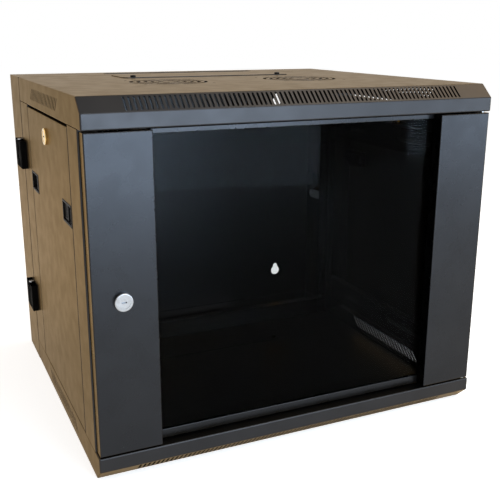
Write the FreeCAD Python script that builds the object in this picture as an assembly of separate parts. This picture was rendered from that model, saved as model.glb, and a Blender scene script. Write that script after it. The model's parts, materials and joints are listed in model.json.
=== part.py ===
import FreeCAD, Part
import math
import os

V = FreeCAD.Vector

# Double-section, swing-out wall cabinet for 19-inch equipment, in millimetres.
# X runs to the viewer's right, Y towards the wall, Z up. While the pieces are made,
# y = 0 is the wall and z = 0 the base; they are written with the origin at the middle
# of the four wall keyholes.

# Case
cabinet_width = 600.0
cabinet_height = 501.0
swing_depth = 450.0
wall_depth = 95.0
wall_return = 20.0
frame_sheet = 1.5
fold_radius = 2.0
seam_gap = 0.8

# Top and bottom trays
tray_height = 38.5
chamfer_run = 20.0
chamfer_rise = 18.5
front_return = 18.0
side_return = 14.0
rear_return = 15.0

# Vents
vent_width = 3.0
chamfer_vent_length = 21.5
chamfer_vent_pitch = 6.5
chamfer_vent_margin = 56.0
side_vent_width = 2.4
side_vent_pitch = 10.0
side_vent_count = 20
side_vent_rise = 18.0
side_vent_centre = 235.0
side_vent_slant = 45.0

# Fan positions in the top
fan_centre_x = 111.0
fan_centre_y = 240.0
fan_screw_spacing = 105.0
fan_screw_hole = 4.5
fan_guard_radius = 59.0
fan_guard_slot = 5.0
fan_guard_land = 5.5
fan_guard_rings = 5
fan_guard_bridge = 6.0

# Cable entries
cable_hole_width = 240.0
cable_hole_depth = 56.0
cable_hole_corner = 8.0
cable_hole_rear = 52.0
cover_width = 298.0
cover_front_lap = 18.0
cover_rear_lap = 10.0
cover_sheet = 1.2
cover_screw_x = 131.0
cover_screw_inset = 9.0
cap_slot_width = 286.0
cap_slot_front = 42.0
cap_slot_rear = 29.0

# Posts and braces
post_front = 20.0
front_post_depth = 57.0
rear_post_depth = 71.5
post_setback = 1.6
post_face_flange = 25.0
post_inner_flange = 45.0
post_foot = 24.0
brace_flange = 14.0
brace_height = 40.0
brace_front_tab = 45.5
brace_rear_tab = 28.0
brace_centre = 55.0
brace_slot_length = 110.0
brace_flange_setback = 20.0

# Rack rails
unit_height = 44.45
hole_offsets = (6.35, 22.225, 38.1)
rail_hole_inset = 7.05
rail_hole = 9.5
rail_side_space = 54.0
rail_sheet = 2.0
rail_face = 20.5
rail_web = 25.0
rail_end_gap = 2.0
front_rail_setback = 36.0
rear_rail_post_gap = 12.5

# Screws
m5 = 5.0
m6 = 6.0
cover_screw_length = 8.0
rail_bolt_length = 9.0
frame_screw_length = 6.0
brace_front_screw_length = 4.5
brace_rear_screw_length = 7.0
hinge_screw_length = 6.5
nut_flats = 10.0
nut_thickness = 4.5
post_screw_step = 14.0
brace_screw_step = 12.0
brace_front_screw_inset = 17.0
hinge_screw_step = 15.0
screw_clearance = 0.3
thread_clearance = 0.05

# Section hinges
hinge_leaf_thickness = 9.0
hinge_leaf_length = 27.0
hinge_leaf_height = 46.0
hinge_relief = 8.0
hinge_barrel_radius = 4.2
hinge_pin_radius = 2.5
hinge_inset_z = 125.0
hinge_edge_round = 1.0
hinge_arm_overlap = 3.0
pin_head_thickness = 1.5
pin_head_gap = 0.1
knuckle_gap = 0.3
pin_clearance = 0.05

# Door
door_side_gap = 2.0
door_tray_gap = 2.0
door_depth = 17.0
door_sheet = 1.2
strip_width = 84.8
strip_fold = 1.6
glass_thickness = 4.0
glass_bond = 22.0
top_rail_height = 6.5
bottom_rail_height = 13.0
rail_lip = 1.2
pivot_from_edge = 6.0
pivot_y = 9.0
pivot_radius = 3.0
pivot_reach = 5.0
pivot_inside = 14.0
pivot_collar_radius = 4.5
pivot_collar_height = 4.0
door_ledge = 12.0
rail_round = 0.8
glass_round = 0.4
glass_end_gap = 1.0
washer_radius = 5.5
washer_clearance = 0.1

# Side panels
panel_sheet = 1.2
panel_fold = 1.6
panel_return = 16.0
panel_side_gap = 1.0
panel_base_gap = 0.4
panel_top_gap = 3.5
tongue_length = 6.0
tongue_width = 24.0
tongue_inset = 8.0
tongue_spacing = 200.0
tongue_slot_margin = 2.2
tongue_slot_end = 1.0

# Slide latches
latch_from_top = 157.0
latch_height = 27.0
latch_width = 50.0
latch_edge = 4.5
latch_depth = 9.0
latch_wall = 1.3
latch_rim = 1.5
latch_rim_proud = 0.6
latch_travel = 8.0
grip_width = 22.0
grip_gap = 0.4
grip_depth = 5.5
grip_ridges = 4
grip_round = 0.8
groove_width = 2.0
groove_depth = 1.0
groove_end = 3.0
bolt_height = 14.0
bolt_thickness = 3.0
bolt_gap = 0.4
bolt_setback = 0.5
bolt_end_inset = 3.0
neck_width = 10.0
neck_height = 8.0

# Cam locks
lock_head_radius = 12.0
lock_body_radius = 9.5
lock_plug_radius = 8.2
lock_plug_clearance = 0.05
lock_nut_flats = 24.0
lock_nut_thickness = 3.5
lock_body_length = 16.4
door_lock_length = 24.0
lock_flat = 8.2
cam_thickness = 2.0
cam_width = 16.0
cam_reach = 34.0
cam_square = 7.0
cam_square_gap = 0.05
cam_screw_length = 6.0
cam_screw_thread = 7.0
plug_setback = 0.4
head_round = 1.2
keyway_length = 7.0
keyway_width = 2.0
keyway_depth = 4.0
door_lock_inset = 39.0
door_lock_proud = 6.0
side_lock_from_top = 71.0
side_lock_proud = 3.5
section_lock_y = 45.0

# Section catch on the swing frame
catch_x = 9.5
catch_above_cam = 8.0
catch_height = 26.0
catch_lip = 14.0
catch_clearance = 3.0
catch_notch_margin = 4.0

# Wall fixing
keyhole_radius = 9.5
keyhole_slot_width = 10.0
keyhole_rise = 15.5
keyhole_inset_x = 77.0
keyhole_base = 75.5
keyhole_from_top = 63.5
stud_radius = 3.0
stud_length = 18.0
stud_collar = 1.5
stud_nut_height = 4.0
stud_nut_thickness = 5.0
stud_inset_x = 70.0
stud_inset_y = 60.0

# Worked out. In a 600 mm wide case the rails' hole columns are 465.1 mm apart, as 19-inch
# equipment needs, and in a 501 mm high one they hold 9 units.
half_width = cabinet_width / 2
middle = cabinet_height / 2
seam = -wall_depth
front = seam - swing_depth
tray_rear = seam - seam_gap / 2
wall_front = seam + seam_gap / 2
post_base = tray_height
post_top = cabinet_height - tray_height
post_face = front + post_front
front_post_rear = front + post_front + front_post_depth
rear_post_front = seam - rear_post_depth
post_rear = tray_rear - post_setback
panel_front = front_post_rear + panel_side_gap
panel_rear = rear_post_front - panel_side_gap
panel_middle = (panel_front + panel_rear) / 2
panel_base = tray_height + panel_base_gap
panel_top = post_top - panel_top_gap
rail_outer = half_width - rail_side_space
rail_inner = rail_outer - rail_face
rail_hole_x = rail_inner + rail_hole_inset
rail_length = post_top - post_base - 2 * rail_end_gap
rack_units = int(rail_length / unit_height)
front_rail_y = front + front_rail_setback
rear_rail_y = rear_post_front - rear_rail_post_gap
cable_hole_y = seam - cable_hole_rear
cover_front = cable_hole_y - cable_hole_depth / 2 - cover_front_lap
cover_rear = cable_hole_y + cable_hole_depth / 2 + cover_rear_lap
cover_screw_y = cover_front + cover_screw_inset
cap_slot_depth = wall_depth - cap_slot_front - cap_slot_rear
keyhole_spacing_x = cabinet_width - 2 * keyhole_inset_x
keyhole_spacing_z = cabinet_height - keyhole_base - keyhole_from_top
origin_height = keyhole_base + keyhole_spacing_z / 2
door_base = tray_height + door_tray_gap
door_top = post_top - door_tray_gap
door_half = half_width - door_side_gap
strip_inner = door_half - strip_width
door_lock_x = door_half - door_lock_inset
pivot_x = door_half - pivot_from_edge
hinge_x = -half_width - hinge_leaf_thickness / 2
hinge_z = (hinge_inset_z, cabinet_height - hinge_inset_z)
latch_z = cabinet_height - latch_from_top
side_lock_z = cabinet_height - side_lock_from_top
catch_base = middle + cam_width / 2 + catch_above_cam


def box(x0, x1, y0, y1, z0, z1):
    low = V(min(x0, x1), min(y0, y1), min(z0, z1))
    return Part.makeBox(abs(x1 - x0), abs(y1 - y0), abs(z1 - z0), low)


def rod(radius, start, end):
    start = V(*start)
    way = V(*end) - start
    return Part.makeCylinder(radius, way.Length, start, way)


def prism(points, way):
    corners = [V(*point) for point in points]
    return Part.Face(Part.makePolygon(corners + corners[:1])).extrude(V(*way))


def rounded(solid, radius, picked=lambda edge: True):
    return solid.makeFillet(radius, [edge for edge in solid.Edges if picked(edge)])


def along(axis):
    def picked(edge):
        way = edge.tangentAt(edge.FirstParameter)
        return abs(way.dot(V(*axis))) > 0.999
    return picked


def cut(solid, tools):
    return solid.cut(Part.makeCompound(tools)) if tools else solid


def fused(solids):
    return solids[0].fuse(solids[1:]).removeSplitter()


def turned(shape, centre, axis, degrees):
    copy = shape.copy()
    copy.rotate(V(*centre), V(*axis), degrees)
    return copy


def moved(shape, x, y, z):
    copy = shape.copy()
    copy.translate(V(x, y, z))
    return copy


def mirror_x(shape):
    return shape.mirror(V(0, 0, 0), V(1, 0, 0))


def flip_z(shape):
    return shape.mirror(V(0, 0, middle), V(0, 0, 1))


def stadium(length, width, depth):
    """Slot cutter, long way along Y, centred, cutting through depth along Z."""
    reach = (length - width) / 2
    r = width / 2
    z = -depth / 2
    sides = [Part.LineSegment(V(r, -reach, z), V(r, reach, z)),
             Part.Arc(V(r, reach, z), V(0, reach + r, z), V(-r, reach, z)),
             Part.LineSegment(V(-r, reach, z), V(-r, -reach, z)),
             Part.Arc(V(-r, -reach, z), V(0, -reach - r, z), V(r, -reach, z))]
    outline = Part.Wire([side.toShape() for side in sides])
    return Part.Face(outline).extrude(V(0, 0, depth))


def hex_nut(flats, thickness, bore, centre, way):
    corner = flats / math.sqrt(3)
    points = [(corner * math.cos(math.radians(60 * i)), corner * math.sin(math.radians(60 * i)), 0)
              for i in range(6)]
    nut = prism(points, (0, 0, thickness)).cut(rod(bore, (0, 0, -1), (0, 0, thickness + 1)))
    return placed(nut, centre, way)


def placed(shape, centre, way):
    """Take a shape made on the Z axis to centre, with its +Z along way."""
    copy = shape.copy()
    seat = FreeCAD.Placement(V(*centre), FreeCAD.Rotation(V(0, 0, 1), V(*way)))
    copy.Placement = seat.multiply(copy.Placement)
    return copy


def pan_head_screw(size, length, seat, way):
    """Screw whose head sits on seat and whose shank runs along way."""
    head = rounded(Part.makeCylinder(size * 0.9, size * 0.6, V(0, 0, -size * 0.6)), size * 0.2,
                   lambda edge: edge.BoundBox.ZMax < -size * 0.5)
    recess = fused([box(-size * 0.45, size * 0.45, -size * 0.09, size * 0.09, -size, -size * 0.3),
                    box(-size * 0.09, size * 0.09, -size * 0.45, size * 0.45, -size, -size * 0.3)])
    shank = Part.makeCylinder(size / 2 - thread_clearance, length)
    return placed(head.fuse(shank).cut(recess).removeSplitter(), seat, way)


def save(name, *solids):
    shape = solids[0].copy() if len(solids) == 1 else Part.makeCompound(list(solids))
    shape.translate(V(0, 0, -origin_height))
    shape.exportStep(os.path.join("parts", name + ".step"))


# Trays of the swing frame

def tray_profile(inset):
    slope = math.hypot(chamfer_run, chamfer_rise)
    near = front + inset
    far = tray_rear - inset
    lip = chamfer_rise + inset * (slope - chamfer_rise) / chamfer_run
    foot = front + chamfer_run + inset * (slope - chamfer_run) / chamfer_rise
    top = tray_height - inset
    return [(0, near, top), (0, near, lip), (0, foot, inset), (0, far, inset), (0, far, top)]


def tray_block(inset):
    half = half_width - inset
    points = [(-half, y, z) for _, y, z in tray_profile(inset)]
    return rounded(prism(points, (2 * half, 0, 0)), fold_radius - inset)


def chamfer_vents():
    span = cabinet_width - 2 * chamfer_vent_margin
    count = int(span / chamfer_vent_pitch) + 1
    slope = math.degrees(math.atan2(chamfer_rise, chamfer_run))
    slot = stadium(chamfer_vent_length, vent_width, 6 * frame_sheet)
    slot = turned(slot, (0, 0, 0), (1, 0, 0), -slope)
    first = -(count - 1) / 2 * chamfer_vent_pitch
    return [moved(slot, first + i * chamfer_vent_pitch, front + chamfer_run / 2, chamfer_rise / 2)
            for i in range(count)]


def side_vents():
    slant = math.radians(side_vent_slant)
    length = (side_vent_rise - side_vent_width) / math.sin(slant) + side_vent_width
    slot = turned(stadium(length, side_vent_width, 6 * frame_sheet), (0, 0, 0), (0, 1, 0), 90)
    slot = turned(slot, (0, 0, 0), (1, 0, 0), side_vent_slant)
    first = front + side_vent_centre - (side_vent_count - 1) / 2 * side_vent_pitch
    height = tray_height / 2
    return [moved(slot, side * half_width, first + i * side_vent_pitch, height)
            for i in range(side_vent_count) for side in (-1, 1)]


def cable_hole():
    hole = box(-cable_hole_width / 2, cable_hole_width / 2,
               cable_hole_y - cable_hole_depth / 2, cable_hole_y + cable_hole_depth / 2,
               -frame_sheet, 3 * frame_sheet)
    return rounded(hole, cable_hole_corner, along((0, 0, 1)))


def cover_screw_holes():
    radius = m5 / 2 + screw_clearance
    return [rod(radius, (x, cover_screw_y, -frame_sheet), (x, cover_screw_y, 3 * frame_sheet))
            for x in (-cover_screw_x, cover_screw_x)]


def post_screw_places():
    x = half_width - side_return / 2
    front_mid = front + post_front + front_post_depth / 2
    rear_mid = (rear_post_front + post_rear) / 2
    return [(side * x, mid + step) for side in (-1, 1) for mid in (front_mid, rear_mid)
            for step in (-post_screw_step, post_screw_step)]


def post_screw_holes():
    return [rod(m5 / 2, (x, y, tray_height - 3 * frame_sheet), (x, y, tray_height + frame_sheet))
            for x, y in post_screw_places()]


def tray():
    solid = tray_block(0).cut(tray_block(frame_sheet))
    mouth = box(-half_width + side_return, half_width - side_return, front + front_return,
                tray_rear - rear_return, tray_height - 2 * frame_sheet, tray_height + 1)
    pivot = rod(pivot_radius + pin_clearance, (pivot_x, front + pivot_y, tray_height - 3 * frame_sheet),
                (pivot_x, front + pivot_y, tray_height + 1))
    tools = chamfer_vents() + side_vents() + cover_screw_holes() + post_screw_holes()
    return cut(solid, [mouth, cable_hole(), pivot] + tools)


def fan_cuts(centre_x):
    centre = (centre_x, front + fan_centre_y)
    tools = []
    for ring in range(fan_guard_rings):
        outer = fan_guard_radius - ring * (fan_guard_slot + fan_guard_land)
        inner = outer - fan_guard_slot
        band = rod(outer, (*centre, -frame_sheet), (*centre, 3 * frame_sheet))
        band = band.cut(rod(inner, (*centre, -2 * frame_sheet), (*centre, 4 * frame_sheet)))
        bridge = box(centre[0] - outer - 1, centre[0] + outer + 1, centre[1] - fan_guard_bridge / 2,
                     centre[1] + fan_guard_bridge / 2, -2 * frame_sheet, 4 * frame_sheet)
        bridges = [turned(bridge, (*centre, 0), (0, 0, 1), 45 * (ring % 2) + turn) for turn in (0, 90)]
        tools += cut(band, bridges).Solids
    for dx in (-0.5, 0.5):
        for dy in (-0.5, 0.5):
            x = centre[0] + dx * fan_screw_spacing
            y = centre[1] + dy * fan_screw_spacing
            tools.append(rod(fan_screw_hole / 2, (x, y, -frame_sheet), (x, y, 3 * frame_sheet)))
    return tools


def bottom_tray():
    slots = []
    margin = tongue_slot_margin
    for side in (-1, 1):
        for step in (-0.5, 0.5):
            y = panel_middle + step * tongue_spacing
            slots.append(box(side * (half_width - tongue_inset + margin / 2),
                             side * (half_width - tongue_inset - panel_sheet - margin),
                             y - tongue_width / 2 - tongue_slot_end, y + tongue_width / 2 + tongue_slot_end,
                             tray_height - 2 * frame_sheet, tray_height + 1))
    return cut(tray(), slots)


def top_tray():
    return flip_z(cut(tray(), fan_cuts(-fan_centre_x) + fan_cuts(fan_centre_x)))


def cable_cover(sheet_z):
    plate = box(-cover_width / 2, cover_width / 2, cover_front, cover_rear, sheet_z,
                sheet_z + cover_sheet)
    plate = rounded(plate, cable_hole_corner, along((0, 0, 1)))
    radius = m5 / 2 + screw_clearance
    holes = [rod(radius, (x, cover_screw_y, sheet_z - 1), (x, cover_screw_y, sheet_z + cover_sheet + 1))
             for x in (-cover_screw_x, cover_screw_x)]
    return cut(plate, holes)


def cover_screws():
    top = cabinet_height + cover_sheet
    low = frame_sheet + cover_sheet
    screws = []
    for x in (-cover_screw_x, cover_screw_x):
        screws.append(pan_head_screw(m5, cover_screw_length, (x, cover_screw_y, top), (0, 0, -1)))
        screws.append(pan_head_screw(m5, low, (x, cover_screw_y, low), (0, 0, -1)))
    return screws


# Posts, braces and rack rails, made on the right and mirrored to the left

def bolt_slot(y, way):
    """Hole in a post's flange for a latch bolt at the panel's edge y, cut along way."""
    near = half_width - latch_depth - bolt_gap
    return box(near + 2 * bolt_gap, near - bolt_thickness - 2 * bolt_gap,
               y - way, y + 3 * way * frame_sheet,
               latch_z - bolt_height / 2 - bolt_gap, latch_z + bolt_height / 2 + bolt_gap)


def brace_heights():
    return (post_base + brace_centre, post_top - brace_centre)


def brace_screw_places():
    """Seat, way and length of each screw that holds a brace to the posts."""
    front_x = half_width - brace_front_screw_inset
    rear_x = rail_outer + frame_sheet + brace_rear_tab / 2
    ends = ((front_x, post_face + 2 * frame_sheet, -1, brace_front_screw_length),
            (rear_x, rear_post_front - frame_sheet, 1, brace_rear_screw_length))
    return [((x, y, z + step), way, length) for x, y, way, length in ends for z in brace_heights()
            for step in (-brace_screw_step, brace_screw_step)]


def channel_post(y0, y1, front_flange, rear_flange):
    block = box(half_width - max(front_flange, rear_flange), half_width, y0, y1, post_base, post_top)
    outer = rounded(block, fold_radius, lambda edge: along((0, 0, 1))(edge)
                    and edge.BoundBox.XMin > half_width - 1)
    inner = box(0, half_width - frame_sheet, y0 + frame_sheet, y1 - frame_sheet, post_base - 1, post_top + 1)
    inner = rounded(inner, fold_radius - frame_sheet, lambda edge: along((0, 0, 1))(edge)
                    and edge.BoundBox.XMin > half_width - 3)
    short = min(front_flange, rear_flange)
    trim_y = (y0 - 1, y0 + frame_sheet) if front_flange < rear_flange else (y1 - frame_sheet, y1 + 1)
    trim = box(0, half_width - short, trim_y[0], trim_y[1], post_base - 1, post_top + 1)
    post = outer.cut(inner).cut(trim)
    feet = []
    for z in (post_base, post_top - frame_sheet):
        foot = box(half_width - post_foot, half_width - frame_sheet, y0 + frame_sheet, y1 - frame_sheet,
                   z, z + frame_sheet)
        feet.append(foot)
    post = fused([post] + feet)
    holes = [rod(m5 / 2 + screw_clearance, (x, y, post_base - 1), (x, y, post_top + 1))
             for x, y in post_screw_places() if x > 0 and y0 < y < y1]
    return cut(post, holes)


def brace_screw_holes(way, radius):
    return [rod(radius, (x, y - 3 * frame_sheet, z), (x, y + 3 * frame_sheet, z))
            for (x, y, z), each_way, _ in brace_screw_places() if each_way == way]


def front_post():
    post = channel_post(post_face, front_post_rear, post_face_flange, post_inner_flange)
    return cut(post, [bolt_slot(front_post_rear, -1)] + brace_screw_holes(-1, m5 / 2))


def rear_post():
    post = channel_post(rear_post_front, post_rear, post_inner_flange, post_face_flange)
    return cut(post, [bolt_slot(rear_post_front, 1)] + brace_screw_holes(1, m5 / 2))


def brace(z):
    low = z - brace_height / 2
    high = z + brace_height / 2
    near = post_face + frame_sheet
    web = box(rail_outer, rail_outer + frame_sheet, near, rear_post_front, low, high)
    flanges = [box(rail_outer, rail_outer + brace_flange, front_post_rear + brace_flange_setback,
                   rear_post_front - brace_flange_setback, edge, edge + frame_sheet)
               for edge in (low, high - frame_sheet)]
    tabs = [box(rail_outer, rail_outer + frame_sheet + length, y, y + frame_sheet, low, high)
            for y, length in ((near, brace_front_tab), (rear_post_front - frame_sheet, brace_rear_tab))]
    solid = fused([web] + flanges + tabs)
    width = m6 + 2 * screw_clearance
    slot = turned(stadium(brace_slot_length, width, 6 * frame_sheet), (0, 0, 0), (0, 1, 0), 90)
    shift = (brace_slot_length - width) / 2
    slots = [moved(slot, rail_outer, y + way * shift, z) for y, way in zip(rail_bolt_places(), (1, -1))]
    radius = m5 / 2 + screw_clearance
    return cut(solid, slots + brace_screw_holes(-1, radius) + brace_screw_holes(1, radius))


def rail_bolt_places():
    return (front_rail_y + rail_web / 2, rear_rail_y - rail_web / 2)


def rail(y, way):
    """Rack rail with its drilled face at y and its web running along way."""
    low = middle - rail_length / 2
    high = middle + rail_length / 2
    face = box(rail_inner, rail_outer, y, y + way * rail_sheet, low, high)
    web = box(rail_outer - rail_sheet, rail_outer, y, y + way * rail_web, low, high)
    solid = fused([face, web])
    solid = rounded(solid, fold_radius, lambda edge: along((0, 0, 1))(edge)
                    and edge.BoundBox.XMin > rail_outer - 0.1 and abs(edge.BoundBox.YMin - y) < 0.1)
    first = middle - rack_units * unit_height / 2
    holes = [box(rail_hole_x - rail_hole / 2, rail_hole_x + rail_hole / 2,
                 y - way, y + way * (rail_sheet + 1),
                 first + unit * unit_height + step - rail_hole / 2,
                 first + unit * unit_height + step + rail_hole / 2)
             for unit in range(rack_units) for step in hole_offsets]
    bolt_y = y + way * rail_web / 2
    holes += [rod(m6 / 2 + screw_clearance, (rail_outer - 2 * rail_sheet, bolt_y, z),
                  (rail_outer + 1, bolt_y, z)) for z in brace_heights()]
    return cut(solid, holes)


def rail_bolts():
    bolts = []
    for y in rail_bolt_places():
        for z in brace_heights():
            bolts.append(pan_head_screw(m6, rail_bolt_length, (rail_outer - rail_sheet, y, z), (1, 0, 0)))
            nut_seat = (rail_outer + frame_sheet, y, z)
            bolts.append(hex_nut(nut_flats, nut_thickness, m6 / 2, nut_seat, (1, 0, 0)))
    return bolts + [mirror_x(bolt) for bolt in bolts]


def frame_screws():
    screws = []
    for x, y in post_screw_places():
        for z, way in ((post_base + frame_sheet, -1), (post_top - frame_sheet, 1)):
            screws.append(pan_head_screw(m5, frame_screw_length, (x, y, z), (0, 0, way)))
    for (x, y, z), way, length in brace_screw_places():
        for side in (-1, 1):
            screws.append(pan_head_screw(m5, length, (side * x, y, z), (0, way, 0)))
    return screws


# Wall section

def wall_channel():
    outer = rounded(box(-half_width, half_width, wall_front, 0, 0, cabinet_height), fold_radius,
                    along((0, 0, 1)))
    inner = rounded(box(-half_width + frame_sheet, half_width - frame_sheet, wall_front + frame_sheet,
                        -frame_sheet, -1, cabinet_height + 1), fold_radius - frame_sheet, along((0, 0, 1)))
    mouth = box(-half_width + wall_return, half_width - wall_return, wall_front - 1,
                wall_front + 2 * frame_sheet, -1, cabinet_height + 1)
    ends = [box(-half_width + frame_sheet, half_width - frame_sheet, wall_front - 1,
                wall_front + 2 * frame_sheet, z, z + tray_height + 1)
            for z in (-1, cabinet_height - tray_height)]
    notch = box(half_width - wall_return - 1, half_width - catch_x + 2 * catch_clearance,
                wall_front - 1, wall_front + 2 * frame_sheet,
                catch_base - catch_above_cam + catch_notch_margin / 2,
                catch_base + catch_height + catch_notch_margin)
    lock_y = seam + section_lock_y
    tools = [mouth, notch, lock_hole((half_width, lock_y, middle), (1, 0, 0))] + ends
    tools += hinge_screw_holes(1)
    for x in (-0.5, 0.5):
        for z in (-0.5, 0.5):
            tools.append(keyhole(x * keyhole_spacing_x, origin_height + z * keyhole_spacing_z))
    return cut(outer.cut(inner), tools)


def keyhole(x, z):
    slot_r = keyhole_slot_width / 2
    top = z + keyhole_rise - slot_r
    depth = 3 * frame_sheet
    return fused([rod(keyhole_radius, (x, -depth, z), (x, depth, z)),
                  rod(slot_r, (x, -depth, top), (x, depth, top)),
                  box(x - slot_r, x + slot_r, -depth, depth, z, top)])


def wall_cap():
    """Bottom cap; the top one is its mirror image."""
    half = half_width - frame_sheet
    back = -frame_sheet
    plate = box(-half, half, wall_front, back, 0, frame_sheet)
    lip = box(-half, half, wall_front, wall_front + frame_sheet, 0, tray_height)
    sides = [box(side * half, side * (half - frame_sheet), wall_front, back, 0, tray_height / 2)
             for side in (-1, 1)]
    rear = box(-half, half, back - frame_sheet, back, 0, tray_height / 2)
    slot = box(-cap_slot_width / 2, cap_slot_width / 2, seam + cap_slot_front,
               seam + cap_slot_front + cap_slot_depth, -1, 2 * frame_sheet)
    slot = rounded(slot, cable_hole_corner, along((0, 0, 1)))
    solid = fused([plate, lip, rear] + sides)
    solid = rounded(solid, fold_radius, lambda edge: along((1, 0, 0))(edge)
                    and edge.BoundBox.YMax < wall_front + 0.1 and edge.BoundBox.ZMax < 0.1)
    solid = rounded(solid, fold_radius - frame_sheet, lambda edge: along((0, 0, 1))(edge)
                    and edge.BoundBox.YMin > back - 0.1)
    return solid.cut(slot)


def earth_stud(x, y, z):
    stud = rod(stud_radius - thread_clearance, (x, y, z), (x, y, z + stud_length))
    collar = rod(stud_radius * 2, (x, y, z), (x, y, z + stud_collar))
    nut = hex_nut(nut_flats, stud_nut_thickness, stud_radius, (x, y, z + stud_nut_height), (0, 0, 1))
    return fused([stud, collar]), nut


# Section hinges on the left

def hinge_screw_places(way):
    y = seam + way * (hinge_relief + (hinge_leaf_length - hinge_relief) / 2)
    return [(y, z + step) for z in hinge_z for step in (-hinge_screw_step, hinge_screw_step)]


def hinge_screw_holes(way):
    radius = m5 / 2 + screw_clearance
    return [rod(radius, (-half_width - 1, y, z), (-half_width + 3 * frame_sheet, y, z))
            for y, z in hinge_screw_places(way)]


def hinge_leaf(way, z):
    """Leaf on one side of the seam; way is 1 on the wall section and -1 on the swing section."""
    high = hinge_leaf_height / 2
    third = hinge_leaf_height / 6
    plate = box(-half_width - hinge_leaf_thickness, -half_width, seam + way * hinge_relief,
                seam + way * hinge_leaf_length, z - high, z + high)
    plate = rounded(plate, hinge_edge_round, lambda edge: edge.BoundBox.XMax < -half_width - 1)
    spans = [(-high, -third), (third, high)] if way > 0 else [(-third + knuckle_gap, third - knuckle_gap)]
    arms = []
    for low, top in spans:
        arms.append(box(hinge_x - hinge_barrel_radius, -half_width, seam,
                        seam + way * (hinge_relief + hinge_arm_overlap), z + low, z + top))
        arms.append(rod(hinge_barrel_radius, (hinge_x, seam, z + low), (hinge_x, seam, z + top)))
    trim = box(hinge_x, -half_width + 1, seam - way * hinge_leaf_length, seam + way * seam_gap / 2,
               z - high, z + high)
    leaf = fused([plate] + arms)
    barrel = rod(hinge_barrel_radius, (hinge_x, seam, z - high), (hinge_x, seam, z + high))
    leaf = leaf.cut(trim.cut(barrel))
    bore = rod(hinge_pin_radius + pin_clearance, (hinge_x, seam, z - high - 1),
               (hinge_x, seam, z + high + 1))
    threads = [rod(m5 / 2, (-half_width + 1, y, level), (-half_width - hinge_screw_length, y, level))
               for y, level in hinge_screw_places(way) if abs(level - z) < high]
    return cut(leaf, [bore] + threads)


def hinge_pin(z):
    high = z + hinge_leaf_height / 2
    seat = high + pin_head_gap
    pin = rod(hinge_pin_radius, (hinge_x, seam, high - hinge_leaf_height), (hinge_x, seam, seat))
    head = rod(hinge_barrel_radius, (hinge_x, seam, seat), (hinge_x, seam, seat + pin_head_thickness))
    return fused([pin, head])


def hinge_screws(way):
    return [pan_head_screw(m5, hinge_screw_length, (-half_width + frame_sheet, y, z), (-1, 0, 0))
            for y, z in hinge_screw_places(way)]


# Cam locks: made on the Z axis with the outer face of the sheet at z = 0 and +Z outwards

def lock_hole(centre, way):
    hole = Part.makeCylinder(lock_body_radius + screw_clearance, 12, V(0, 0, -6))
    return placed(hole, centre, way)


def lock_parts(centre, way, proud, wall, length, cam_way):
    """Housing, nut, plug and cam; cam_way is where the cam points while unlocked."""
    r = lock_body_radius
    head = rounded(Part.makeCylinder(lock_head_radius, proud), min(head_round, proud / 3),
                   lambda edge: edge.BoundBox.ZMin > proud - 0.01)
    body = Part.makeCylinder(r, length, V(0, 0, -length))
    flats = [box(side * lock_flat, side * (r + 1), -r - 1, r + 1, -length - 1, -wall - 0.1)
             for side in (-1, 1)]
    bore = Part.makeCylinder(lock_plug_radius + lock_plug_clearance, length + proud + 2,
                             V(0, 0, -length - 1))
    housing = cut(head.fuse(body), flats + [bore])
    nut = hex_nut(lock_nut_flats, lock_nut_thickness, r, (0, 0, -wall - lock_nut_thickness), (0, 0, 1))
    tail = -length - cam_thickness
    plug = Part.makeCylinder(lock_plug_radius, proud + length - plug_setback,
                             V(0, 0, -length))
    half = cam_square / 2
    square = box(-half, half, -half, half, tail, -length)
    keyway = box(-keyway_length / 2, keyway_length / 2, -keyway_width / 2, keyway_width / 2,
                 proud - keyway_depth, proud + 1)
    thread = Part.makeCylinder(m5 / 2, cam_screw_thread + 1, V(0, 0, tail - 1))
    plug = cut(plug.fuse(square), [keyway, thread])
    cam = box(-cam_width / 2, cam_width / 2, -cam_width / 2, cam_reach, tail, -length)
    cam = rounded(cam, cam_width / 2 - 0.5, along((0, 0, 1)))
    eye = half + cam_square_gap
    cam = cam.cut(box(-eye, eye, -eye, eye, tail - 1, -length + 1))
    screw = pan_head_screw(m5, cam_screw_length, (0, 0, tail), (0, 0, 1))
    seats = [placed(piece, centre, way) for piece in (housing, nut, plug, cam, screw)]
    across = FreeCAD.Rotation(V(0, 0, 1), V(*way)).multVec(V(0, 1, 0))
    turn = math.degrees(across.getAngle(V(*cam_way)))
    if across.cross(V(*cam_way)).dot(V(*way)) < 0:
        turn = -turn
    seats[3] = turned(seats[3], centre, way, turn)
    level = FreeCAD.Rotation(V(0, 0, 1), V(*way)).multVec(V(1, 0, 0))
    if abs(level.z) > 0.5:
        seats[2] = turned(seats[2], centre, way, 90)
    return seats


# Door

def door_strip():
    """Right-hand steel strip: a pan open to the rear, with a flange that the glass is bonded to."""
    block = box(strip_inner, door_half, front, front + door_depth, door_base, door_top)
    outer = rounded(block, strip_fold, lambda edge: edge.BoundBox.YMax < front + door_depth - 0.1)
    inner = box(strip_inner + door_sheet, door_half - door_sheet, front + door_sheet,
                front + door_depth + 1, door_base + door_sheet, door_top - door_sheet)
    inner = rounded(inner, strip_fold - door_sheet, lambda edge: edge.BoundBox.YMax < front + door_depth)
    flange = box(strip_inner, strip_inner + glass_bond, front + door_depth - door_sheet,
                 front + door_depth, door_base, door_top)
    ledge = box(door_half - door_ledge, door_half, front + door_depth - door_sheet, front + door_depth,
                door_base, door_top)
    return fused([outer.cut(inner), flange, ledge])


def door_pivot_holes():
    y = front + pivot_y
    return [rod(pivot_radius + thread_clearance, (pivot_x, y, z - 3), (pivot_x, y, z + 3))
            for z in (door_base, door_top)]


def door_right_strip():
    return cut(door_strip(), door_pivot_holes())


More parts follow.
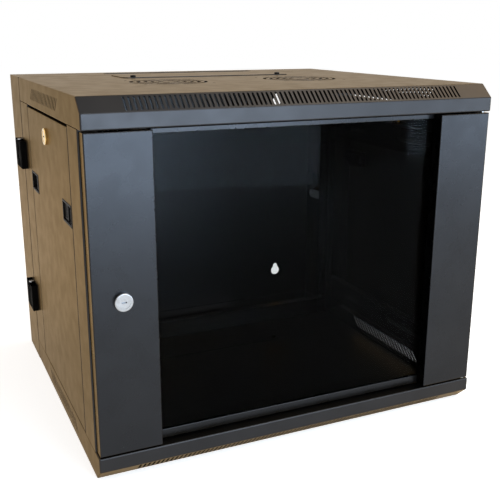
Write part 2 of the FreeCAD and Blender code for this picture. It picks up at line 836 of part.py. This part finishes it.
def door_left_strip():
    lock = (-door_lock_x, front, middle)
    return mirror_x(door_strip()).cut(lock_hole(lock, (0, -1, 0)))


def door_rail(z0, z1, web_z):
    """Thin rail that grips the glass edge; web_z is the side of the rail at the glass edge."""
    ends = strip_inner - rail_lip
    y0 = front + door_depth - rail_lip
    y1 = front + door_depth + glass_thickness + rail_lip
    block = box(-ends, ends, y0, y1, z0, z1)
    block = rounded(block, rail_round, along((1, 0, 0)))
    pocket = box(-ends - 1, ends + 1, front + door_depth, front + door_depth + glass_thickness,
                 z0 - 1 if web_z > z0 else z0 + rail_lip, z1 + 1 if web_z < z1 else z1 - rail_lip)
    return block.cut(pocket)


def door_glass():
    half = strip_inner + glass_bond - glass_end_gap
    pane = box(-half, half, front + door_depth, front + door_depth + glass_thickness,
               door_base + rail_lip, door_top - rail_lip)
    return rounded(pane, glass_round)


def door_pivots():
    y = front + pivot_y
    low = rod(pivot_radius, (pivot_x, y, tray_height - pivot_reach), (pivot_x, y, door_base + pivot_inside))
    high = rod(pivot_radius, (pivot_x, y, door_top - pivot_inside), (pivot_x, y, post_top + pivot_reach))
    collar = rod(pivot_collar_radius, (pivot_x, y, door_base + door_sheet),
                 (pivot_x, y, door_base + door_sheet + pivot_collar_height))
    top_collar = rod(pivot_collar_radius, (pivot_x, y, door_top - door_sheet - pivot_collar_height),
                     (pivot_x, y, door_top - door_sheet))
    return [fused([low, collar]), fused([high, top_collar])]


def door_washer():
    y = front + pivot_y
    ring = rod(washer_radius, (pivot_x, y, tray_height), (pivot_x, y, door_base - washer_clearance))
    hole = rod(pivot_radius + pin_clearance, (pivot_x, y, tray_height - 1), (pivot_x, y, door_base))
    return ring.cut(hole)


# Side panels, made on the right

def latch_places():
    """Recess start and the way to the panel's edge, for the front and rear latches."""
    return ((panel_front + latch_edge, -1), (panel_rear - latch_edge, 1))


def latch_recess(edge, way, margin):
    low = latch_z - latch_height / 2
    return box(half_width + 1, half_width - latch_depth,
               edge + way * margin, edge - way * (latch_width + margin),
               low - margin, low + latch_height + margin)


def latch_bolt(edge, way, margin):
    """Bolt behind the recess, from the grip's neck to the panel's edge."""
    near = half_width - latch_depth - bolt_gap
    end = panel_front if way < 0 else panel_rear
    return box(near + margin, near - bolt_thickness - margin, end - way * (bolt_setback - margin),
               edge - way * (latch_width - bolt_end_inset), latch_z - bolt_height / 2 - margin,
               latch_z + bolt_height / 2 + margin)


def side_panel():
    block = box(half_width - panel_return, half_width, panel_front, panel_rear, panel_base, panel_top)
    outer = rounded(block, panel_fold, lambda edge: edge.BoundBox.XMin > half_width - panel_return + 0.1)
    inner = box(half_width - panel_return - 1, half_width - panel_sheet, panel_front + panel_sheet,
                panel_rear - panel_sheet, panel_base + panel_sheet, panel_top - panel_sheet)
    inner = rounded(inner, panel_fold - panel_sheet,
                    lambda edge: edge.BoundBox.XMin > half_width - panel_return)
    tongues = []
    for step in (-0.5, 0.5):
        y = panel_middle + step * tongue_spacing
        tongues.append(box(half_width - tongue_inset, half_width - tongue_inset - panel_sheet,
                           y - tongue_width / 2, y + tongue_width / 2,
                           panel_base - tongue_length, panel_base + panel_sheet))
    tools = [lock_hole((half_width, panel_middle, side_lock_z), (1, 0, 0))]
    for edge, way in latch_places():
        tools.append(latch_recess(edge, way, 0))
        tools.append(latch_bolt(edge, way, bolt_gap))
        end = panel_front if way < 0 else panel_rear
        tools.append(bolt_slot(end, -way))
    return cut(fused([outer.cut(inner)] + tongues), tools)


def latch_housing(edge, way):
    """Moulded pocket with a rim on the panel and a slot in its floor."""
    low = latch_z - latch_height / 2
    high = latch_z + latch_height / 2
    inner_end = edge - way * latch_width
    cup = box(half_width, half_width - latch_depth, edge, inner_end, low, high)
    rim = box(half_width, half_width + latch_rim_proud,
              edge + way * latch_rim, inner_end - way * latch_rim, low - latch_rim, high + latch_rim)
    rim = rounded(rim, latch_rim_proud * 0.6, lambda each: each.BoundBox.XMin > half_width + 0.1)
    hollow = box(half_width + 2, half_width - latch_depth + latch_wall, edge - way * latch_wall,
                 inner_end + way * latch_wall, low + latch_wall, high - latch_wall)
    grip_end = inner_end + way * (latch_wall + grip_gap)
    neck_start = grip_end + way * (grip_width - neck_width) / 2
    slot = box(half_width, half_width - latch_depth - 1, neck_start - way * grip_gap,
               neck_start + way * (neck_width + latch_travel + grip_gap),
               latch_z - neck_height / 2 - grip_gap, latch_z + neck_height / 2 + grip_gap)
    return cut(fused([cup, rim]), [hollow, slot])


def latch_slider(edge, way):
    inner_end = edge - way * latch_width
    grip_end = inner_end + way * (latch_wall + grip_gap)
    floor = half_width - latch_depth + latch_wall + grip_gap
    half = latch_height / 2 - latch_wall - grip_gap
    grip = box(floor, floor + grip_depth, grip_end, grip_end + way * grip_width,
               latch_z - half, latch_z + half)
    grip = rounded(grip, grip_round, lambda each: each.BoundBox.XMin > floor + 0.1)
    pitch = grip_width / (grip_ridges + 1)
    grooves = [box(floor + grip_depth - groove_depth, floor + grip_depth + 1,
                   grip_end + way * (pitch * (i + 1) - groove_width / 2),
                   grip_end + way * (pitch * (i + 1) + groove_width / 2),
                   latch_z - half + groove_end, latch_z + half - groove_end)
               for i in range(grip_ridges)]
    neck_start = grip_end + way * (grip_width - neck_width) / 2
    neck = box(half_width - latch_depth - bolt_gap - 1, floor + 1, neck_start, neck_start + way * neck_width,
               latch_z - neck_height / 2, latch_z + neck_height / 2)
    bolt = latch_bolt(edge, way, 0)
    return cut(fused([grip, neck, bolt]), grooves)


# Section catch: hooked plate on the right rear post, caught by the wall section's lock

def section_catch():
    high = catch_base + catch_height
    outer = half_width - catch_x
    far = seam + section_lock_y + cam_width / 2 + 1
    base = box(outer, outer - frame_sheet, post_rear, far + frame_sheet, catch_base, high)
    foot = box(outer, outer - catch_lip, post_rear - 2 * frame_sheet, post_rear - frame_sheet,
               catch_base, high)
    stem = box(outer, outer - frame_sheet, post_rear - 2 * frame_sheet, post_rear, catch_base, high)
    lip = box(outer, outer - catch_lip, far, far + frame_sheet, catch_base, high)
    return fused([base, foot, stem, lip])


def catch_slot():
    outer = half_width - catch_x
    fit = screw_clearance
    return box(outer + fit, outer - frame_sheet - fit, post_rear - 3 * frame_sheet, post_rear + 1,
               catch_base - fit, catch_base + catch_height + fit)


os.makedirs("parts", exist_ok=True)

save("top_tray", top_tray())
save("bottom_tray", bottom_tray())
save("top_cable_cover", cable_cover(cabinet_height))
save("bottom_cable_cover", cable_cover(frame_sheet))
save("cover_screws", *cover_screws())

for side, reflect in (("right", lambda shape: shape), ("left", mirror_x)):
    save(side + "_front_post", reflect(front_post()))
    rear = reflect(rear_post())
    fixings = [catch_slot()] if side == "right" else hinge_screw_holes(-1)
    save(side + "_rear_post", cut(rear, fixings))
    for level, z in zip(("lower", "upper"), brace_heights()):
        save(f"{side}_{level}_brace", reflect(brace(z)))
    save(side + "_front_rail", reflect(rail(front_rail_y, 1)))
    save(side + "_rear_rail", reflect(rail(rear_rail_y, -1)))
    save(side + "_side_panel", reflect(side_panel()))
    save(side + "_latch_housings", *[reflect(latch_housing(edge, way)) for edge, way in latch_places()])
    for name, (edge, way) in zip(("front", "rear"), latch_places()):
        save(f"{side}_{name}_latch_slider", reflect(latch_slider(edge, way)))
    outwards = 1 if side == "right" else -1
    housing, nut, plug, cam, screw = lock_parts(
        (outwards * half_width, panel_middle, side_lock_z), (outwards, 0, 0), side_lock_proud,
        panel_sheet, lock_body_length, (0, 1, 0))
    save(side + "_lock_housing", housing, nut)
    save(side + "_lock_plug", plug)
    save(side + "_lock_cam", cam, screw)

save("rail_bolts", *rail_bolts())
save("frame_screws", *frame_screws())
save("section_catch", section_catch())
save("swing_earth_stud", *earth_stud(-half_width + stud_inset_x, tray_rear - stud_inset_y, frame_sheet))

save("wall_channel", wall_channel())
save("wall_bottom_cap", wall_cap())
save("wall_top_cap", flip_z(wall_cap()))
save("wall_earth_stud", *earth_stud(half_width - stud_inset_x, seam / 2, frame_sheet))
for name, way in (("wall", 1), ("swing", -1)):
    save(name + "_hinge_leaves", *[hinge_leaf(way, z) for z in hinge_z])
    save(name + "_hinge_screws", *hinge_screws(way))
save("hinge_pins", *[hinge_pin(z) for z in hinge_z])

housing, nut, plug, cam, screw = lock_parts(
    (half_width, seam + section_lock_y, middle), (1, 0, 0), side_lock_proud, frame_sheet,
    lock_body_length, (0, -1, 0))
save("section_lock_housing", housing, nut)
save("section_lock_plug", plug)
save("section_lock_cam", cam, screw)

save("door_left_strip", door_left_strip())
save("door_right_strip", door_right_strip())
save("door_top_rail", door_rail(door_top - top_rail_height, door_top, door_top))
save("door_bottom_rail", door_rail(door_base, door_base + bottom_rail_height, door_base))
save("door_glass", door_glass())
save("door_pivots", *door_pivots())
save("door_washer", door_washer())
housing, nut, plug, cam, screw = lock_parts(
    (-door_lock_x, front, middle), (0, -1, 0), door_lock_proud, door_sheet,
    door_lock_length, (0, 0, -1))
save("door_lock_housing", housing, nut)
save("door_lock_plug", plug)
save("door_lock_cam", cam, screw)
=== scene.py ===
import json
import math

import bpy
from mathutils import Matrix, Vector


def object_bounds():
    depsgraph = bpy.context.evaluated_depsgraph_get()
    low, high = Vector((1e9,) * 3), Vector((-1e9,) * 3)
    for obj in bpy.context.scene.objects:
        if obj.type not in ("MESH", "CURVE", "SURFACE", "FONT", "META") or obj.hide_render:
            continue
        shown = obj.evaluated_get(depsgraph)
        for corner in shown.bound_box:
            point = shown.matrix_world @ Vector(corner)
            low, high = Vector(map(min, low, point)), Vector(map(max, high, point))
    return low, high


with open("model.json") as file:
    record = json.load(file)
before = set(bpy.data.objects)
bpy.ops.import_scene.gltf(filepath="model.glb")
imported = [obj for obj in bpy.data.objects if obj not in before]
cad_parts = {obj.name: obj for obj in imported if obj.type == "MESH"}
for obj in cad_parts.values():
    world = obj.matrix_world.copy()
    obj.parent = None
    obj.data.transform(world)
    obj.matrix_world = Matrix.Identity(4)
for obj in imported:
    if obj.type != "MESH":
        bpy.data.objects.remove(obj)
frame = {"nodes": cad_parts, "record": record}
cadLow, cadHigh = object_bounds()
nodes = frame["nodes"]
mm = 0.001
print("loaded", len(nodes), "CAD nodes")


def srgb(hexColour):
    values = [int(hexColour[i:i + 2], 16) / 255 for i in (1, 3, 5)]
    return (*[v / 12.92 if v <= 0.04045 else ((v + 0.055) / 1.055) ** 2.4 for v in values], 1.0)


def addNode(tree, kind, settings=None, links=None, **attributes):
    node = tree.nodes.new(kind)
    for name, value in attributes.items():
        setattr(node, name, value)
    for name, value in (settings or {}).items():
        node.inputs[name].default_value = value
    for name, source in (links or {}).items():
        tree.links.new(source, node.inputs[name])
    return node


# Materials

# A finish gives its shader's sockets, its patterns as size in mm and detail, the two colours
# that the cloud pattern mixes, the roughness that the patch pattern (or the cloud, if there
# is none) moves between, and the depth in mm of each pattern that stands out as relief.
# Most of a noise pattern lies between the two levels below, and roughness runs over those.
noiseLow, noiseHigh = 0.35, 0.65

# Black powder coat sprayed on folded steel and cured smooth, drawn as a dark metal: near black seen
# square on, with a flare at a shallow angle that the world and lamps give. The brown-gold colour of that
# flare is painted into the coat's reflection tint, a painted warm reflection. The real orange peel is 1
# to 2 mm across and too fine to show, so it is drawn 4 mm across.
powderCoatPatterns = {"cloud": (60.0, 3.0), "patch": (25.0, 2.0), "wave": (90.0, 2.0), "peel": (4.0, 2.0)}
powderCoatRelief = {"wave": 0.02, "peel": 0.005}
caseCoatPaintedFlare = {
    # Specular Tint: the painted brown-gold colour of the shallow-angle reflection
    "sockets": {"Metallic": 1.0, "Specular Tint": srgb("#f2d8b6")},
    "patterns": powderCoatPatterns, "relief": powderCoatRelief,
    "dark": "#2d2d2e", "light": "#343435", "roughness": (0.33, 0.38),
}

# The same coat, with the same painted brown-gold reflection tint, on the door's flat strips and rails,
# where it flows out glossier
doorCoatPaintedFlare = {
    # Specular Tint: the painted brown-gold colour of the shallow-angle reflection, as on the case
    "sockets": {"Metallic": 1.0, "Specular Tint": srgb("#f2d8b6")},
    "patterns": powderCoatPatterns, "relief": powderCoatRelief,
    "dark": "#28292b", "light": "#2e2f31", "roughness": (0.26, 0.30),
}

# Matt black polyester powder coat on the inner frame: flat, with a dry texture. Its colour is set darker
# than black paint is, as painted shade for the inside of the cabinet. The real texture is about 0.5 mm
# across and too fine to show, so it is drawn 2 mm across.
innerBlackPaintedShade = {
    "sockets": {"IOR": 1.25},
    "patterns": {"cloud": (8.0, 3.0), "grain": (2.0, 2.0)}, "relief": {"grain": 0.012},
    "dark": "#070708", "light": "#0c0c0d", "roughness": (0.50, 0.60),
}

# Zinc die casting with black electrophoretic coat: even and semi-gloss, over a faint casting
# texture, which is drawn 1.5 mm across, coarser than it is, so that it shows
blackDieCast = {
    "sockets": {"Metallic": 1.0, "Specular Tint": srgb("#54504a")},
    "patterns": {"cloud": (12.0, 2.0), "grain": (1.5, 2.0)}, "relief": {"grain": 0.01},
    "dark": "#0c0c0c", "light": "#141414", "roughness": (0.32, 0.42),
}

# Moulded ABS, black, from a spark-eroded mould: an even grain that scatters the light. The
# real grain is about 0.2 mm across and too fine to show, so it is drawn 0.9 mm across.
blackMouldedAbs = {
    "sockets": {"IOR": 1.22},
    "patterns": {"cloud": (0.9, 2.0)}, "relief": {"cloud": 0.03},
    "dark": "#0d0d0e", "light": "#161617", "roughness": (0.50, 0.62),
}

# Toughened float glass, smoke grey: flat, with the faint roller wave that toughening leaves
toughenedGlass = {
    "sockets": {"Transmission Weight": 1.0, "IOR": 1.07, "Roughness": 0.0},
    "patterns": {"cloud": (260.0, 1.0)}, "relief": {"cloud": 0.02},
    "dark": "#b6bcbf", "light": "#bfc5c8",
}

# Satin chrome on a turned brass lock: fine brushing spreads the light into a pale disc
satinChrome = {
    "sockets": {"Metallic": 1.0}, "patterns": {"cloud": (3.0, 2.0)},
    "dark": "#8f9193", "light": "#a4a5a6", "roughness": (0.16, 0.24),
}

# Polished nickel on a turned brass lock: brighter and warmer than the chrome
warmNickel = {
    "sockets": {"Metallic": 1.0}, "patterns": {"cloud": (3.0, 2.0)},
    "dark": "#d3b06c", "light": "#e6cb92", "roughness": (0.08, 0.16),
}

# Zinc-plated steel: pale and slightly blue, with a soft crystalline bloom
zincPlatedSteel = {
    "sockets": {"Metallic": 1.0}, "patterns": {"cloud": (1.2, 3.0)},
    "dark": "#9a9c9e", "light": "#b8babb", "roughness": (0.28, 0.42),
}

# Black oxide on steel screws: thin, dark and slightly oily
blackOxideSteel = {
    "sockets": {"Metallic": 1.0}, "patterns": {"cloud": (1.0, 3.0)},
    "dark": "#161513", "light": "#24221f", "roughness": (0.36, 0.48),
}

# Natural nylon: milky, waxy, lets a little light in
naturalNylon = {
    "sockets": {"IOR": 1.53, "Subsurface Weight": 0.15, "Subsurface Radius": (0.002, 0.002, 0.0015)},
    "patterns": {"cloud": (2.0, 2.0)},
    "dark": "#cfccc2", "light": "#dad7cd", "roughness": (0.4, 0.5),
}


def makeMaterial(name, finish):
    material = bpy.data.materials.new(name)
    material.use_nodes = True
    tree = material.node_tree
    shader = tree.nodes["Principled BSDF"]
    for socket, value in finish["sockets"].items():
        shader.inputs[socket].default_value = value

    place = addNode(tree, "ShaderNodeTexCoord").outputs["Object"]
    patterns = {}
    for pattern, (sizeMm, detail) in finish["patterns"].items():
        texture = addNode(tree, "ShaderNodeTexNoise", {"Scale": 1 / (sizeMm * mm), "Detail": detail},
                          {"Vector": place})
        patterns[pattern] = texture.outputs["Fac"]

    colour = addNode(tree, "ShaderNodeMix", {"A": srgb(finish["dark"]), "B": srgb(finish["light"])},
                     {"Factor": patterns["cloud"]}, data_type="RGBA")
    tree.links.new(colour.outputs["Result"], shader.inputs["Base Color"])

    if "roughness" in finish:
        low, high = finish["roughness"]
        roughness = addNode(tree, "ShaderNodeMapRange",
                            {"From Min": noiseLow, "From Max": noiseHigh, "To Min": low, "To Max": high},
                            {"Value": patterns.get("patch", patterns["cloud"])})
        tree.links.new(roughness.outputs["Result"], shader.inputs["Roughness"])

    below = {}
    for pattern, depthMm in finish.get("relief", {}).items():
        bump = addNode(tree, "ShaderNodeBump", {"Strength": 1.0, "Distance": depthMm * mm},
                       {"Height": patterns[pattern], **below})
        below = {"Normal": bump.outputs["Normal"]}
    if below:
        tree.links.new(below["Normal"], shader.inputs["Normal"])
    return material


doorCoat = makeMaterial("doorCoatPaintedFlare", doorCoatPaintedFlare)
nickel = makeMaterial("warmNickel", warmNickel)
slotMaterials = {
    "case_paint": makeMaterial("caseCoatPaintedFlare", caseCoatPaintedFlare),
    "rail_paint": makeMaterial("innerBlackPaintedShade", innerBlackPaintedShade),
    "hinge_paint": makeMaterial("blackDieCast", blackDieCast),
    "latch_plastic": makeMaterial("blackMouldedAbs", blackMouldedAbs),
    "glass": makeMaterial("toughenedGlass", toughenedGlass),
    "lock_chrome": makeMaterial("satinChrome", satinChrome),
    "zinc_steel": makeMaterial("zincPlatedSteel", zincPlatedSteel),
    "black_steel": makeMaterial("blackOxideSteel", blackOxideSteel),
    "nylon": makeMaterial("naturalNylon", naturalNylon),
}
slotOf = {part["node"]: part["material_slot"] for part in frame["record"]["subparts"]}


# The door's paint is glossier than the case's, and every lock but the door's is nickel
def dressNode(name):
    onDoor = name.startswith("door_")
    material = slotMaterials[slotOf[name]]
    if onDoor and slotOf[name] == "case_paint":
        material = doorCoat
    if not onDoor and slotOf[name] == "lock_chrome":
        material = nickel
    node = nodes[name]
    node.data.materials.clear()
    node.data.materials.append(material)


for name in sorted(nodes):
    dressNode(name)
print("materials on every node")


# Stage, light and camera

# The floor is diffuse and keeps the object's shadow. What the camera, gloss and glass see of
# floor and world is lifted to white, and the light that both give the object stays plain.
stage = {"floorHalf": 12.0, "floorGap": 0.0005, "floorColour": "#f0f0ef", "floorRoughness": 0.9,
         "floorLift": 0.74, "worldLevel": 0.30, "white": 1.0}


def whiteRays(tree):
    path = addNode(tree, "ShaderNodeLightPath")
    seen = path.outputs["Is Camera Ray"]
    for ray in ("Is Glossy Ray", "Is Transmission Ray"):
        either = addNode(tree, "ShaderNodeMath", links={0: seen, 1: path.outputs[ray]},
                         operation="MAXIMUM")
        seen = either.outputs[0]
    return seen


def makeWorld():
    world = bpy.data.worlds.new("studioWorld")
    world.use_nodes = True
    tree = world.node_tree
    background = tree.nodes["Background"]
    background.inputs["Color"].default_value = (1, 1, 1, 1)
    level = addNode(tree, "ShaderNodeMapRange", {"To Min": stage["worldLevel"], "To Max": stage["white"]},
                    {"Value": whiteRays(tree)})
    tree.links.new(level.outputs["Result"], background.inputs["Strength"])
    bpy.context.scene.world = world


def makeFloor():
    half = stage["floorHalf"]
    mesh = bpy.data.meshes.new("studioFloor")
    corners = [(-half, -half, 0), (half, -half, 0), (half, half, 0), (-half, half, 0)]
    mesh.from_pydata(corners, [], [(0, 1, 2, 3)])
    floor = bpy.data.objects.new("studioFloor", mesh)
    bpy.context.scene.collection.objects.link(floor)
    floor.location.z = cadLow.z - stage["floorGap"]

    material = bpy.data.materials.new("paleFloor")
    material.use_nodes = True
    tree = material.node_tree
    shader = tree.nodes["Principled BSDF"]
    shader.inputs["Base Color"].default_value = srgb(stage["floorColour"])
    shader.inputs["Roughness"].default_value = stage["floorRoughness"]
    shader.inputs["Specular IOR Level"].default_value = 0.0
    shader.inputs["Emission Color"].default_value = (1, 1, 1, 1)
    lift = addNode(tree, "ShaderNodeMapRange", {"To Min": 0.0, "To Max": stage["floorLift"]},
                   {"Value": whiteRays(tree)})
    tree.links.new(lift.outputs["Result"], shader.inputs["Emission Strength"])
    mesh.materials.append(material)


# Two cool softboxes in front show as the soft light on the door's strips, header and glass
softboxes = {
    "frontLeftSoftbox": {"at": (0.35, -2.3, 0.18), "aim": (-0.1, -0.5, 0.1), "size": (1.25, 0.86),
                         "watts": 32.0, "colour": "#cfe4fb"},
    "frontRightSoftbox": {"at": (2.05, -2.35, 0.18), "aim": (0.3, -0.5, 0.1), "size": (0.9, 0.86),
                          "watts": 20.0, "colour": "#cfe4fb"},
    "edgeSoftbox": {"at": (0.5, -1.7, 1.8), "aim": (0.0, -0.5, -0.2), "size": (1.2, 0.4),
                    "watts": 12.0, "colour": "#ffffff"},
    "topSoftbox": {"at": (1.7, -0.5, 2.2), "aim": (0.0, -0.3, 0.1), "size": (1.8, 1.8),
                   "watts": 30.0, "colour": "#fff6e8"},
    "warmSoftbox": {"at": (-2.6, 1.2, 1.2), "aim": (-0.3, -0.3, 0.0), "size": (1.8, 1.8),
                    "watts": 18.0, "colour": "#ffd29a"},
}


def makeSoftbox(name, look):
    lamp = bpy.data.lights.new(name, "AREA")
    lamp.shape = "RECTANGLE"
    lamp.size, lamp.size_y = look["size"]
    lamp.energy = look["watts"]
    lamp.color = srgb(look["colour"])[:3]
    box = bpy.data.objects.new(name, lamp)
    bpy.context.scene.collection.objects.link(box)
    box.location = look["at"]
    way = Vector(look["aim"]) - Vector(look["at"])
    box.rotation_euler = way.to_track_quat("-Z", "Y").to_euler()
    box.visible_camera = False


# Yaw, pitch and roll in degrees, lens and sensor in mm
camera = {"at": (-0.490, -1.428, 0.3155), "yaw": 24.60, "pitch": 15.82, "roll": 0.11,
          "lens": 55.2, "sensor": 36.0}


def makeCamera():
    data = bpy.data.cameras.new("frontCamera")
    data.lens = camera["lens"]
    data.sensor_width = camera["sensor"]
    eye = bpy.data.objects.new("frontCamera", data)
    bpy.context.scene.collection.objects.link(eye)
    yaw, pitch = math.radians(camera["yaw"]), math.radians(camera["pitch"])
    way = Vector((math.sin(yaw) * math.cos(pitch), math.cos(yaw) * math.cos(pitch), -math.sin(pitch)))
    turn = way.to_track_quat("-Z", "Y").to_matrix().to_4x4()
    roll = Matrix.Rotation(math.radians(camera["roll"]), 4, "Z")
    eye.matrix_world = Matrix.Translation(camera["at"]) @ turn @ roll
    bpy.context.scene.camera = eye


makeWorld()
makeFloor()
for name, look in softboxes.items():
    makeSoftbox(name, look)
makeCamera()
bpy.context.scene.view_settings.view_transform = "Standard"
print("stage, lights and camera")
